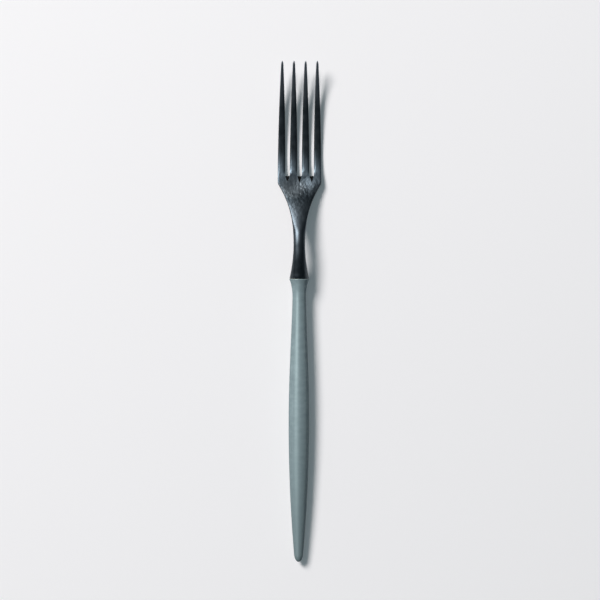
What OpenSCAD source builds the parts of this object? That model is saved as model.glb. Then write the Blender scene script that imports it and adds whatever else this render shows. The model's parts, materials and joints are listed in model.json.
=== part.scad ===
// A slim dinner fork: a forged steel head with a trumpet bolster, joined by a turned
// tang pin and a film of adhesive to a turned resin handle.
// It lies face up on a table: X across the head, Y towards the tine tips, Z up from the table.

/* [Tines] */
// Number of tines
tine_count = 4; // [3:1:5]
// Length of the tines, from the shoulder corners to the tips
tine_length = 52.2; // [42:0.1:60]
// Width of a tine at its root
tine_width = 3.2; // [2.4:0.05:3.8]
// Width of a tine where its rounded tip begins
tine_tip_width = 0.9; // [0.7:0.05:1.6]
// Thickness of a tine at its root
tine_thickness = 1.8; // [1.4:0.05:2.4]
// Thickness of a tine where its rounded tip begins
tine_tip_thickness = 1; // [0.8:0.05:1.3]
// Length of the rounded tip of a tine
tine_tip_round = 1.6; // [0.8:0.1:2.4]
// How far the tips of the outer tines lean towards the middle
tine_toe_in = 0.3; // [0:0.05:0.8]
// Clear width of a slot between two tines
slot_width = 2; // [1.6:0.05:2.6]
// Length of the pointed, ramped end of a slot
slot_point = 3; // [1.5:0.1:3.4]
// Distance from the shoulder corners to the end of a slot's parallel sides
slot_stand = 3.4; // [3.2:0.1:5]

/* [Neck and bolster] */
// Length from the neck's narrowest place to the shoulder corners
shoulder_length = 26.8; // [22:0.1:34]
// Size of the rounding at the shoulder corners
shoulder_round = 0.5; // [0.2:0.05:1]
// How much the shoulders' edges lie below their middle
shoulder_crown = 0.38; // [0:0.02:0.6]
// Depth of the shallow bowl before the slots
bowl_depth = 0.5; // [0.2:0.05:0.8]
// Width of the bowl
bowl_width = 14; // [10:0.5:17]
// Length of the bowl
bowl_length = 12; // [8:0.5:16]
// Distance from the bowl's middle to the shoulder corners
bowl_offset = 0.8; // [0:0.1:3]
// Width of the neck at its narrowest
neck_width = 5; // [4.2:0.05:6]
// Thickness of the neck at its narrowest
neck_thickness = 3; // [2.6:0.05:4]
// Length of the trumpet, from the neck's narrowest place to the handle
bolster_length = 14.3; // [12:0.1:18]
// Diameter of the bolster where it meets the handle
bolster_diameter = 8.4; // [7.6:0.05:9.8]
// Radius of the edge round the bolster's back face
bolster_edge = 0.25; // [0.1:0.05:0.4]

/* [Side profile] */
// Upward slope of the centre line where the neck leaves the bolster's face, in degrees
neck_rise = 24; // [18:0.5:27]
// Length over which the sections turn from the handle's slope to the neck's
neck_turn = 4; // [3:0.1:6]
// Height of the neck's centre line at the top of its arch
crest_height = 9.3; // [8:0.1:11]
// Distance from the top of the arch to the neck's narrowest place
crest_offset = 1.3; // [0:0.1:3]
// Radius of the arch over the neck
crest_radius = 36; // [28:1:45]
// Distance from the shoulder corners to where the tines' backs rest on the table
rest_offset = 12.3; // [8:0.1:16]
// Radius of the tines' backs where they rest
rest_radius = 45; // [36:1:60]
// Height of the centre line at the tine tips
tip_height = 8.2; // [6:0.1:11]
// Upward slope of the tine tips, in degrees
tip_angle = 20; // [15:0.5:25]

/* [Handle] */
// Length of the handle
handle_length = 121.6; // [105:0.1:140]
// Slope of the handle's axis above the table, in degrees
handle_tilt = 1; // [0.5:0.1:2]
// Diameter of the rim that meets the bolster
rim_diameter = 8.5; // [8:0.02:9.9]
// Radius of the rim's edge at the bolster, and size of its chamfer behind
rim_edge = 0.2; // [0.1:0.05:0.4]
// Width of the rim
rim_width = 0.55; // [0.5:0.05:1]
// Diameter at the narrow waist
waist_diameter = 5.8; // [5.4:0.05:6.8]
// Distance from the rim's face to the waist
waist_reach = 8; // [6:0.1:12]
// Diameter at the belly, the thickest place
belly_diameter = 8.84; // [8:0.02:11]
// Distance from the rim's face to the belly
belly_reach = 61; // [50:0.5:70]
// Diameter that the taper comes down to at the end
end_diameter = 3.6; // [2.6:0.1:4.6]
// Length of the rounded end
end_round = 1.6; // [1:0.1:2.2]

/* [Tang and bond] */
// Diameter of the tang pin
tang_diameter = 3; // [2.4:0.1:3.2]
// Depth of the tang pin's seat in the bolster
tang_seat = 2.5; // [2:0.1:3]
// Radial clearance of the tang pin in the bolster's bore
tang_seat_clearance = 0.03; // [0.01:0.01:0.08]
// Reach of the tang pin into the handle
tang_reach = 70; // [50:1:80]
// Chamfer on both ends of the tang pin
tang_chamfer = 0.4; // [0.2:0.05:0.6]
// Number of keying grooves turned in the tang pin
groove_count = 6; // [3:1:8]
// Distance of the first and the last groove from the ends of the tang pin's reach
groove_margin = 10; // [4:0.5:14]
// Width of a keying groove at its mouth
groove_width = 1.8; // [1:0.1:3]
// Depth of a keying groove
groove_depth = 0.35; // [0.1:0.05:0.5]
// Thickness of the adhesive round the tang pin
bond_film = 0.2; // [0.1:0.05:0.25]
// Length of the adhesive plug past the tang pin's end
bond_plug = 1.2; // [0.5:0.1:3]
// Thickness of the adhesive film between bolster and handle
seam_film = 0.12; // [0.08:0.01:0.2]
// Distance of that film's edge inside the bolster's edge
seam_inset = 0.3; // [0.2:0.05:0.6]

/* [Hidden] */
$fn = 96;
// Overrun of a cutting tool past the face that it enters
overrun = 1;
// Step to either side over which the slope of the centre line is measured
slope_step = 0.1;

// Powers of the curves: how sharply each draws in, and how square a section is
bolster_flare_power = 1.85;
shoulder_flare_power = 2.5;
tine_taper_power = 1.9;
tine_spread_power = 1.4;
slot_bulge_power = 1.5;
tine_section_power = 4;
head_section_power = 12;
waist_flare_power = 2.4;
belly_rise_power = 1.3;
belly_fall_power = 2;

// Shares of a length at which a change of shape begins or ends
tine_taper_start_share = 0.075;
thinned_share = 0.36;
square_start_share = 0.2;
square_end_share = 0.7;
slot_clear_share = 1.2;
outer_column_share = 0.965;

// Counts of points in the lofted head
tine_columns = 5;
slot_columns = 3;
side_points = 3;
trumpet_steps = 10;
shoulder_steps = 16;
corner_steps = 5;
tine_steps = 12;
round_steps = 4;
// Angle of the corners in a tine's loop of points
tine_corner = 30;
// Angle at which a rounded tip is cut off by its small end face
tip_cut_angle = 78;

// Counts of points in the handle's profile
flare_points = 14;
rise_points = 22;
fall_points = 24;
end_points = 9;

// Stations along the head, measured from the bolster's back face
neck_at = bolster_length;
crest_at = neck_at - crest_offset;
corner_at = neck_at + shoulder_length;
bowl_at = corner_at - bowl_offset;
slot_at = corner_at + slot_stand;
slot_clear_at = slot_at - slot_point * slot_clear_share;
rest_at = corner_at + rest_offset;
tip_at = corner_at + tine_length;

tine_pitch = tine_width + slot_width;
head_width = tine_count * tine_width + (tine_count - 1) * slot_width;
tang_radius = tang_diameter / 2;
groove_pitch = (tang_reach - 2 * groove_margin) / (groove_count - 1);
socket_depth = tang_reach + bond_plug;

// Place of the bolster's back face: the part is centred along Y, and the handle touches the table
face_y = ((seam_film + handle_length) * cos(handle_tilt) - tip_at) / 2;
face_z = max([for (p = handle_profile()) p.y * sin(handle_tilt) + p.x * cos(handle_tilt)]);

// General curves

function mix(from, to, share) = from + (to - from) * share;
function clamped(share) = min(1, max(0, share));
function eased(share) = let (t = clamped(share)) t * t * (3 - 2 * t);
function flat(rows) = [for (row = rows) each row];
function reversed(list) = [for (i = [len(list) - 1:-1:0]) list[i]];

// The smaller of two values, with the corner between them rounded off
function rounded_min(a, b, size) =
    let (h = max(size - abs(a - b), 0) / size) min(a, b) - h * h * size / 4;

// A curve of fifth degree between two places, each given as [height, slope, bend]
function arc_between(from, to, length, t) =
    let (t3 = pow(t, 3), t4 = pow(t, 4), t5 = pow(t, 5))
    from[0] * (1 - 10 * t3 + 15 * t4 - 6 * t5)
    + from[1] * length * (t - 6 * t3 + 8 * t4 - 3 * t5)
    + from[2] * length * length * (t * t - 3 * t3 + 3 * t4 - t5) / 2
    + to[2] * length * length * (t3 - 2 * t4 + t5) / 2
    + to[1] * length * (-4 * t3 + 7 * t4 - 3 * t5)
    + to[0] * (10 * t3 - 15 * t4 + 6 * t5);

// The head's side profile: its centre line rises from the bolster over the arch of the neck,
// falls to the table and rises again to the tips

bolster_end = [face_z, tan(neck_rise), 0];
crest = [crest_height, 0, -1 / crest_radius];
rest = [tine_half_thickness(rest_at), 0, 1 / rest_radius];
tine_end = [tip_height, tan(tip_angle), 0];

function spine_height(q) =
    q < crest_at ? arc_between(bolster_end, crest, crest_at, q / crest_at)
    : q < rest_at ? arc_between(crest, rest, rest_at - crest_at, (q - crest_at) / (rest_at - crest_at))
    : arc_between(rest, tine_end, tip_at - rest_at, (q - rest_at) / (tip_at - rest_at));

function spine_slope(q) =
    atan((spine_height(q + slope_step) - spine_height(q - slope_step)) / (2 * slope_step));

// Lean of the sections: square to the handle at the bolster's face, then square to the centre line
function section_lean(q) = mix(handle_tilt, spine_slope(q), eased(q / neck_turn));

// A point across the head: x from the middle, rise along the section's own upright
function on_spine(q, x, rise) =
    let (lean = section_lean(q))
    [x, face_y + q - rise * sin(lean), spine_height(q) + rise * cos(lean)];

// The body of the head, from the bolster to the slots: its plan and thickness at a station

function bolster_share(q) = pow(1 - clamped(q / neck_at), bolster_flare_power);
function shoulder_share(q) = max(0, q - neck_at) / shoulder_length;
function bolster_edge_loss(q) =
    q < bolster_edge ? bolster_edge - sqrt(pow(bolster_edge, 2) - pow(bolster_edge - q, 2)) : 0;

function body_half_width(q) =
    q < neck_at
    ? mix(neck_width, bolster_diameter, bolster_share(q)) / 2 - bolster_edge_loss(q)
    : rounded_min(
        mix(neck_width, head_width, pow(shoulder_share(q), shoulder_flare_power)) / 2,
        head_width / 2,
        shoulder_round
    );

function body_half_thickness(q) =
    q < neck_at
    ? mix(neck_thickness, bolster_diameter, bolster_share(q)) / 2 - bolster_edge_loss(q)
    : mix(neck_thickness, tine_thickness, eased(shoulder_share(q) / thinned_share)) / 2;

// How square a section is, from 2 for a round or oval one
function body_power(q) =
    let (squared_share = (shoulder_share(q) - square_start_share) / (square_end_share - square_start_share))
    mix(2, head_section_power, eased(squared_share));

// How much the shoulders' crown and the bowl add to the rise of a place at x
function crown(q, x) =
    let (t = clamped(shoulder_share(q)))
    -4 * shoulder_crown * t * (1 - t) * pow(x / body_half_width(q), 2);
function bowl(q, x) =
    let (out = pow(2 * x / bowl_width, 2) + pow(2 * (q - bowl_at) / bowl_length, 2))
    -bowl_depth * pow(max(0, 1 - out), 2);

// The tines: their plan and thickness at a station

function tine_share(q) = (q - slot_at) / (tip_at - slot_at);
function tine_taper(q) =
    let (tapered = clamped((tine_share(q) - tine_taper_start_share) / (1 - tine_taper_start_share)))
    pow(tapered, tine_taper_power);
function tip_left(q) =
    let (past = clamped((q - tip_at + tine_tip_round) / tine_tip_round)) sqrt(1 - past * past);
function tine_half_width(q) = mix(tine_width, tine_tip_width, tine_taper(q)) / 2 * tip_left(q);
function tine_half_thickness(q) =
    mix(tine_thickness, tine_tip_thickness, tine_taper(q)) / 2 * tip_left(q);
function tine_middle(i, q) =
    (i - (tine_count - 1) / 2)
    * (tine_pitch - 2 * tine_toe_in / (tine_count - 1) * clamped(tine_share(q)));

// Loops of points round a section: over the top from left to right, then back underneath

function squircle(angle, power) = [
    sign(cos(angle)) * pow(abs(cos(angle)), 2 / power),
    sign(sin(angle)) * pow(abs(sin(angle)), 2 / power)
];

// The angles of a whole loop, from those of the columns along its top
function loop_angles(columns) =
    let (
        last = len(columns) - 1,
        corner = columns[last],
        turn = 2 * corner / (side_points + 1)
    )
    concat(
        columns,
        [for (s = [1:side_points]) corner - s * turn],
        [for (k = [last:-1:0]) -columns[k]],
        [for (s = [1:side_points]) corner - 180 - s * turn]
    );

// The body's columns are evenly spaced round the bolster, and at the tines' roots they follow
// the tines and the slots in turn
tine_stride = tine_columns + slot_columns;
body_columns = tine_count * tine_stride - slot_columns;
loop_size = 2 * body_columns + 2 * side_points;
round_turn = 360 / loop_size;
round_corner = round_turn * (side_points + 1) / 2;

function root_x(k) =
    let (
        i = floor(k / tine_stride),
        c = k % tine_stride,
        left = tine_middle(i, slot_at) - tine_width / 2
    )
    c < tine_columns
    ? left + tine_width * c / (tine_columns - 1)
    : left + tine_width + slot_width * (c - tine_columns + 1) / (slot_columns + 1);

// A column's place across its section: on the round bolster, and at the tines' roots
function round_share(k) = -cos(round_corner + k * round_turn);
function root_share(k) =
    min(outer_column_share, max(-outer_column_share, 2 * root_x(k) / head_width));

function body_angles(q) = loop_angles([
    for (k = [0:body_columns - 1])
        let (x_share = mix(round_share(k), root_share(k), eased(shoulder_share(q))))
        acos(sign(x_share) * pow(abs(x_share), body_power(q) / 2))
]);

function body_loop(q) = [
    for (angle = body_angles(q))
        let (
            unit = squircle(angle, body_power(q)),
            x = unit.x * body_half_width(q)
        )
        on_spine(q, x, unit.y * body_half_thickness(q) + crown(q, x) + bowl(q, x))
];

// How far a point of the loop lies into the pointed end of a slot, from 0 on a tine and
// underneath to 1 on the point
function slot_share(j) =
    let (c = j % tine_stride)
    j >= body_columns || c < tine_columns
    ? 0
    : 1 - pow(abs(2 * (c - tine_columns + 1) / (slot_columns + 1) - 1), slot_bulge_power);

// The body's last loop, drawn back on top into the slots' pointed ends
root_loop = [
    for (j = [0:loop_size - 1])
        body_loop(slot_at - slot_point * slot_share(j))[j]
];

// A column of that loop, from its top point down to its bottom point
foot = loop_size - side_points - 1;
function root_column(k) =
    [for (s = [0:side_points + 1]) mix(root_loop[k], root_loop[foot - k], s / (side_points + 1))];

function root_side(k) = [for (s = [1:side_points]) root_column(k)[s]];

// The first loop of a tine, taken from the body's last loop so that the two meet
function tine_root_loop(i) =
    let (first = i * tine_stride, last = first + tine_columns - 1)
    concat(
        [for (k = [first:last]) root_loop[k]],
        i < tine_count - 1
        ? root_side(last)
        : [for (s = [0:side_points - 1]) root_loop[body_columns + s]],
        [for (k = [last:-1:first]) root_loop[foot - k]],
        i > 0 ? reversed(root_side(first)) : [for (s = [1:side_points]) root_loop[foot + s]]
    );

tine_angles = loop_angles([
    for (c = [0:tine_columns - 1])
        mix(180 - tine_corner, tine_corner, c / (tine_columns - 1))
]);

function tine_loop(i, q) = [
    for (angle = tine_angles)
        let (
            unit = squircle(angle, tine_section_power),
            x = tine_middle(i, q) + unit.x * tine_half_width(q)
        )
        on_spine(q, x, unit.y * tine_half_thickness(q) + bowl(q, x))
];

// Stations of the loft, closer together where the shape turns quickly
corner_start = corner_at - 2 * shoulder_round;
tip_start = tip_at - tine_tip_round;
body_stations = concat(
    [for (i = [0:round_steps]) bolster_edge * (1 - cos(90 * i / round_steps))],
    [for (i = [1:trumpet_steps]) mix(bolster_edge, neck_at, i / trumpet_steps)],
    [for (i = [1:shoulder_steps]) mix(neck_at, corner_start, i / shoulder_steps)],
    [for (i = [1:corner_steps]) mix(corner_start, slot_clear_at, i / corner_steps)]
);
tine_stations = concat(
    [for (i = [1:tine_steps]) mix(slot_at, tip_start, pow(i / tine_steps, tine_spread_power))],
    [for (i = [1:round_steps]) tip_start + tine_tip_round * sin(tip_cut_angle * i / round_steps)]
);

// The patches that close up the head, as rows of points: the body, the tines and the slots' ends
body_patch = concat([for (q = body_stations) body_loop(q)], [root_loop]);
tine_patches = [
    for (i = [0:tine_count - 1])
        concat([tine_root_loop(i)], [for (q = tine_stations) tine_loop(i, q)])
];
slot_patches = [
    for (i = [0:tine_count - 2])
        let (first = i * tine_stride + tine_columns - 1)
        [for (k = [first:first + slot_columns + 1]) reversed(root_column(k))]
];
ring_patches = concat([body_patch], tine_patches);
head_patches = concat(ring_patches, slot_patches);

patch_points = [for (rows = head_patches) flat(rows)];
patch_starts = [
    for (n = 0, start = 0; n < len(patch_points); start = start + len(patch_points[n]), n = n + 1)
        start
];

// Triangles between the rows of a patch; in a ring the last column joins the first
function patch_faces(n) =
    let (
        columns = len(head_patches[n][0]),
        is_ring = n < len(ring_patches)
    )
    [
        for (r = [0:len(head_patches[n]) - 2])
            for (c = [0:columns - (is_ring ? 1 : 2)])
                let (
                    a = patch_starts[n] + r * columns + c,
                    b = patch_starts[n] + r * columns + (c + 1) % columns
                )
                each [[a, b + columns, b], [a, a + columns, b + columns]]
    ];

// The end face of a ring, which is its first row on the body and its last row on a tine
function ring_end(n) =
    let (
        columns = len(head_patches[n][0]),
        start = patch_starts[n] + (len(head_patches[n]) - 1) * columns
    )
    n == 0
    ? [for (j = [0:columns - 1]) patch_starts[n] + j]
    : [for (j = [columns - 1:-1:0]) start + j];

head_points = flat(patch_points);
head_faces = concat(
    flat([for (n = [0:len(head_patches) - 1]) patch_faces(n)]),
    [for (n = [0:len(ring_patches) - 1]) ring_end(n)]
);

// The handle's profile, as [radius, distance from the bolster's back face], from the rim to the end

function flare_radius(s) =
    let (flare_share = pow(1 - clamped((s - rim_width) / (waist_reach - rim_width)), waist_flare_power))
    mix(waist_diameter, rim_diameter - 2 * rim_edge, flare_share) / 2;

function rise_radius(s) =
    let (turn = 90 * (s - waist_reach) / (belly_reach - waist_reach))
    mix(waist_diameter, belly_diameter, pow(sin(turn), belly_rise_power)) / 2;

function fall_radius(s) =
    let (fall_share = pow((s - belly_reach) / (handle_length - belly_reach), belly_fall_power))
    mix(belly_diameter, end_diameter, fall_share) / 2;

function handle_profile() = concat(
    [
        for (i = [0:round_steps])
            let (angle = 90 * i / round_steps)
            [rim_diameter / 2 - rim_edge * (1 - sin(angle)), seam_film + rim_edge * (1 - cos(angle))]
    ],
    [
        for (i = [0:flare_points])
            let (s = mix(rim_width, waist_reach, i / flare_points))
            [flare_radius(s), seam_film + s]
    ],
    [
        for (i = [1:rise_points])
            let (s = mix(waist_reach, belly_reach, i / rise_points))
            [rise_radius(s), seam_film + s]
    ],
    [
        for (i = [1:fall_points])
            let (s = mix(belly_reach, handle_length - end_round, i / fall_points))
            [fall_radius(s), seam_film + s]
    ],
    [
        for (i = [1:end_points])
            let (angle = 90 * i / end_points, s = handle_length - end_round * (1 - sin(angle)))
            [fall_radius(s) * cos(angle), seam_film + s]
    ]
);

// The tang pin's profile, from its seat in the bolster to its end in the handle
tang_profile = concat(
    [
        [0, -tang_seat],
        [tang_radius - tang_chamfer, -tang_seat],
        [tang_radius, -tang_seat + tang_chamfer]
    ],
    [
        for (g = [0:groove_count - 1])
            let (at = groove_margin + g * groove_pitch)
            each [
                [tang_radius, at - groove_width / 2],
                [tang_radius - groove_depth, at - groove_width / 4],
                [tang_radius - groove_depth, at + groove_width / 4],
                [tang_radius, at + groove_width / 2]
            ]
    ],
    [
        [tang_radius, tang_reach - tang_chamfer],
        [tang_radius - tang_chamfer, tang_reach],
        [0, tang_reach]
    ]
);

// Puts a shape that is drawn up its own Z axis on the handle's axis, from the bolster's back face
module on_handle_axis() {
    translate([0, face_y, face_z])
        rotate([90 + handle_tilt, 0, 0])
            children();
}

module tang_shape() {
    rotate_extrude() polygon(tang_profile);
}

// The blind bore for the pin and its adhesive, drawn from the given mouth to its bottom
module socket(mouth) {
    translate([0, 0, mouth])
        cylinder(h = socket_depth - mouth, d = tang_diameter + 2 * bond_film);
}

module fork_head() {
    color([0.1, 0.11, 0.12])
        difference() {
            polyhedron(points = head_points, faces = head_faces);
            on_handle_axis()
                translate([0, 0, -tang_seat])
                    cylinder(h = tang_seat + overrun, d = tang_diameter + 2 * tang_seat_clearance);
        }
}

module tang_pin() {
    color([0.68, 0.69, 0.7])
        on_handle_axis() tang_shape();
}

module tang_bond() {
    color([0.85, 0.83, 0.74])
        on_handle_axis()
            difference() {
                union() {
                    cylinder(h = seam_film, d = bolster_diameter - 2 * seam_inset);
                    socket(0);
                }
                tang_shape();
            }
}

module handle() {
    color([0.47, 0.54, 0.55])
        on_handle_axis()
            difference() {
                rotate_extrude() polygon(concat([[0, seam_film]], handle_profile()));
                socket(seam_film - overrun);
            }
}

fork_head();
tang_pin();
tang_bond();
handle();
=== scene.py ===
"""The dinner fork's visual model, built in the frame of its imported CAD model.

The forged head and the turned handle are drawn again as fine, smooth meshes and stand for
their CAD nodes. The tang pin and its adhesive sit inside the joint, so they keep their CAD
meshes and only get finishes.

Lengths are in metres: X across the head, Y towards the tine tips, Z up from the table.
"""

import json
import logging
import math
from abc import ABC, abstractmethod
from collections.abc import Sequence
from dataclasses import dataclass, field
from enum import Enum
from typing import Any

import bmesh
import bpy
import numpy as np
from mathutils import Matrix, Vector


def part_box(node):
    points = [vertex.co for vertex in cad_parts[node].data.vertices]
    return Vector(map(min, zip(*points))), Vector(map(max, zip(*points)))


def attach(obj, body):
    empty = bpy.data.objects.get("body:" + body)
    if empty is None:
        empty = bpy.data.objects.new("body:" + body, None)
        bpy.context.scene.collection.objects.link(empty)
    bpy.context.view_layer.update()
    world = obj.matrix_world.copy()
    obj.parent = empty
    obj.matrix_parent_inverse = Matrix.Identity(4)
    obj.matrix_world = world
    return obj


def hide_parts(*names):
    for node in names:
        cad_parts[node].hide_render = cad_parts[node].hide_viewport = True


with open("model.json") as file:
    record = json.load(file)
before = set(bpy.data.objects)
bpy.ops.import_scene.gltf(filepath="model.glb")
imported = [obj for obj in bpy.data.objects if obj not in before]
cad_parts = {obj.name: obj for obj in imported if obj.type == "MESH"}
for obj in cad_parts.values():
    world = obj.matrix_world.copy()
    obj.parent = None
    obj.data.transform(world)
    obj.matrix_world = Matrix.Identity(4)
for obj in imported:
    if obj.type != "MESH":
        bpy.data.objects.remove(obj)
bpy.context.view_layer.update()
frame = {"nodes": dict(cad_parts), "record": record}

LOG = logging.getLogger("dinner_fork")
BODY = "root"
MM = 0.001
WELD_DISTANCE = 1e-7
QUARTER_TURN = math.pi / 2.0

Colour = tuple[float, float, float]
Triple = tuple[float, float, float]
Span = tuple[float, float]
Number = float | np.ndarray
Socket = bpy.types.NodeSocket


class CadNode(Enum):
    """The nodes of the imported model."""

    FORK_HEAD = "fork_head"
    TANG_PIN = "tang_pin"
    TANG_BOND = "tang_bond"
    HANDLE = "handle"


class Slot(Enum):
    """The material slots of the record."""

    HEAD_STEEL = "head_steel"
    TANG_STEEL = "tang_steel"
    BOND_RESIN = "bond_resin"
    HANDLE_RESIN = "handle_resin"


class FaceFinish(Enum):
    """The finishes of a piece's faces, by their place among its materials."""

    MAIN = 0
    SLOT_END = 1


def opaque(colour: Colour) -> tuple[float, float, float, float]:
    """Returns a colour with full opacity, as a shader's socket takes it."""
    return (*colour, 1.0)


def mix(start: Number, end: Number, share: Number) -> Number:
    """Returns the value that lies the given share of the way from start to end."""
    return start + (end - start) * share


def share_of(value: Number, start: float, end: float) -> Number:
    """Returns how far a value lies on the way from start to end."""
    return (value - start) / (end - start)


def steps(start: float, end: float, count: int) -> np.ndarray:
    """Returns evenly spaced values from just after a start up to an end."""
    return np.linspace(start, end, count + 1)[1:]


def eased(share: Number) -> Number:
    """Returns a share clamped to 0..1, with a soft start and a soft end."""
    clamped = np.clip(share, 0.0, 1.0)
    return clamped * clamped * (3.0 - 2.0 * clamped)


def signed_power(value: np.ndarray, power: Number) -> np.ndarray:
    """Returns the power of a value's size, with the value's sign."""
    return np.sign(value) * np.abs(value) ** power


def section(angle: np.ndarray, power: Number) -> np.ndarray:
    """Returns rows across and up of a unit section: round at power 2, squarer above it."""
    return signed_power(np.stack([np.cos(angle), np.sin(angle)]), 2.0 / power)


def rounded_min(first: Number, second: Number, size: float) -> Number:
    """Returns the smaller of two values, rounded off where they differ by less than a size."""
    nearness = np.maximum(size - np.abs(first - second), 0.0) / size
    return np.minimum(first, second) - nearness * nearness * size / 4.0


def arc_between(start: Triple, end: Triple, span: Span, place: Number) -> Number:
    """Evaluates a curve of fifth degree between two places.

    Args:
        start: Height, slope and bend at the start.
        end: Height, slope and bend at the end.
        span: The two places.
        place: The place at which the curve is wanted.

    Returns:
        The height of the curve.
    """
    length = span[1] - span[0]
    share = share_of(place, *span)
    cube, fourth, fifth = share**3, share**4, share**5
    return (
        start[0] * (1.0 - 10.0 * cube + 15.0 * fourth - 6.0 * fifth)
        + start[1] * length * (share - 6.0 * cube + 8.0 * fourth - 3.0 * fifth)
        + start[2] * length**2 * (share**2 - 3.0 * cube + 3.0 * fourth - fifth) / 2.0
        + end[2] * length**2 * (cube - 2.0 * fourth + fifth) / 2.0
        + end[1] * length * (-4.0 * cube + 7.0 * fourth - 3.0 * fifth)
        + end[0] * (10.0 * cube - 15.0 * fourth + 6.0 * fifth)
    )


class MeshDraft:
    """Points and faces that grow patch by patch and end up as one welded, smooth mesh."""

    def __init__(self) -> None:
        """Starts with no points and no faces."""
        self.points: list[np.ndarray] = []
        self.faces: list[tuple[int, ...]] = []
        self.finishes: list[int] = []
        self.count = 0

    def add_points(self, rows: np.ndarray) -> int:
        """Adds points.

        Args:
            rows: The points.

        Returns:
            Index of the first of them.
        """
        start = self.count
        self.points.append(rows)
        self.count += len(rows)
        return start

    def add_patch(
        self,
        rows: Sequence[np.ndarray],
        is_ring: bool = True,
        finish: FaceFinish = FaceFinish.MAIN,
    ) -> None:
        """Adds the four-sided faces between rows of points.

        Args:
            rows: The rows, each with the same number of points.
            is_ring: Whether the last point of a row joins the first.
            finish: The faces' finish.
        """
        columns = len(rows[0])
        start = self.add_points(np.concatenate(rows))
        for row in range(len(rows) - 1):
            for column in range(columns if is_ring else columns - 1):
                here = start + row * columns + column
                beside = start + row * columns + (column + 1) % columns
                self.faces.append((here, beside, beside + columns, here + columns))
                self.finishes.append(finish.value)

    def add_fan(self, loop: np.ndarray, apex: np.ndarray) -> None:
        """Closes a loop of points with triangles to one point.

        Args:
            loop: The points round the opening.
            apex: The point at the middle.
        """
        start = self.add_points(np.concatenate([loop, apex[None, :]]))
        size = len(loop)
        for index in range(size):
            self.faces.append((start + index, start + (index + 1) % size, start + size))
            self.finishes.append(FaceFinish.MAIN.value)

    def to_object(self, name: str, crease_angle: float) -> bpy.types.Object:
        """Makes the Blender object.

        Args:
            name: The piece's name.
            crease_angle: Angle in radians from which an edge stays sharp.

        Returns:
            The object, linked to the scene.
        """
        mesh = bpy.data.meshes.new(name)
        mesh.from_pydata(np.concatenate(self.points).tolist(), [], self.faces)
        mesh.polygons.foreach_set("material_index", self.finishes)
        work = bmesh.new()
        work.from_mesh(mesh)
        bmesh.ops.remove_doubles(work, verts=work.verts[:], dist=WELD_DISTANCE)
        bmesh.ops.recalc_face_normals(work, faces=work.faces[:])
        work.to_mesh(mesh)
        work.free()
        mesh.polygons.foreach_set("use_smooth", [True] * len(mesh.polygons))
        mesh.set_sharp_from_angle(angle=crease_angle)
        piece = bpy.data.objects.new(name, mesh)
        bpy.context.scene.collection.objects.link(piece)
        return piece


class MathStep(Enum):
    """The sums that a node tree does on two values."""

    ADD = "ADD"
    MULTIPLY = "MULTIPLY"


@dataclass(frozen=True)
class Grain:
    """A pattern of noise: its spots per metre along each axis and its finer layers."""

    scale: Triple
    layers: float = 2.0
    fine_share: float = 0.5


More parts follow.
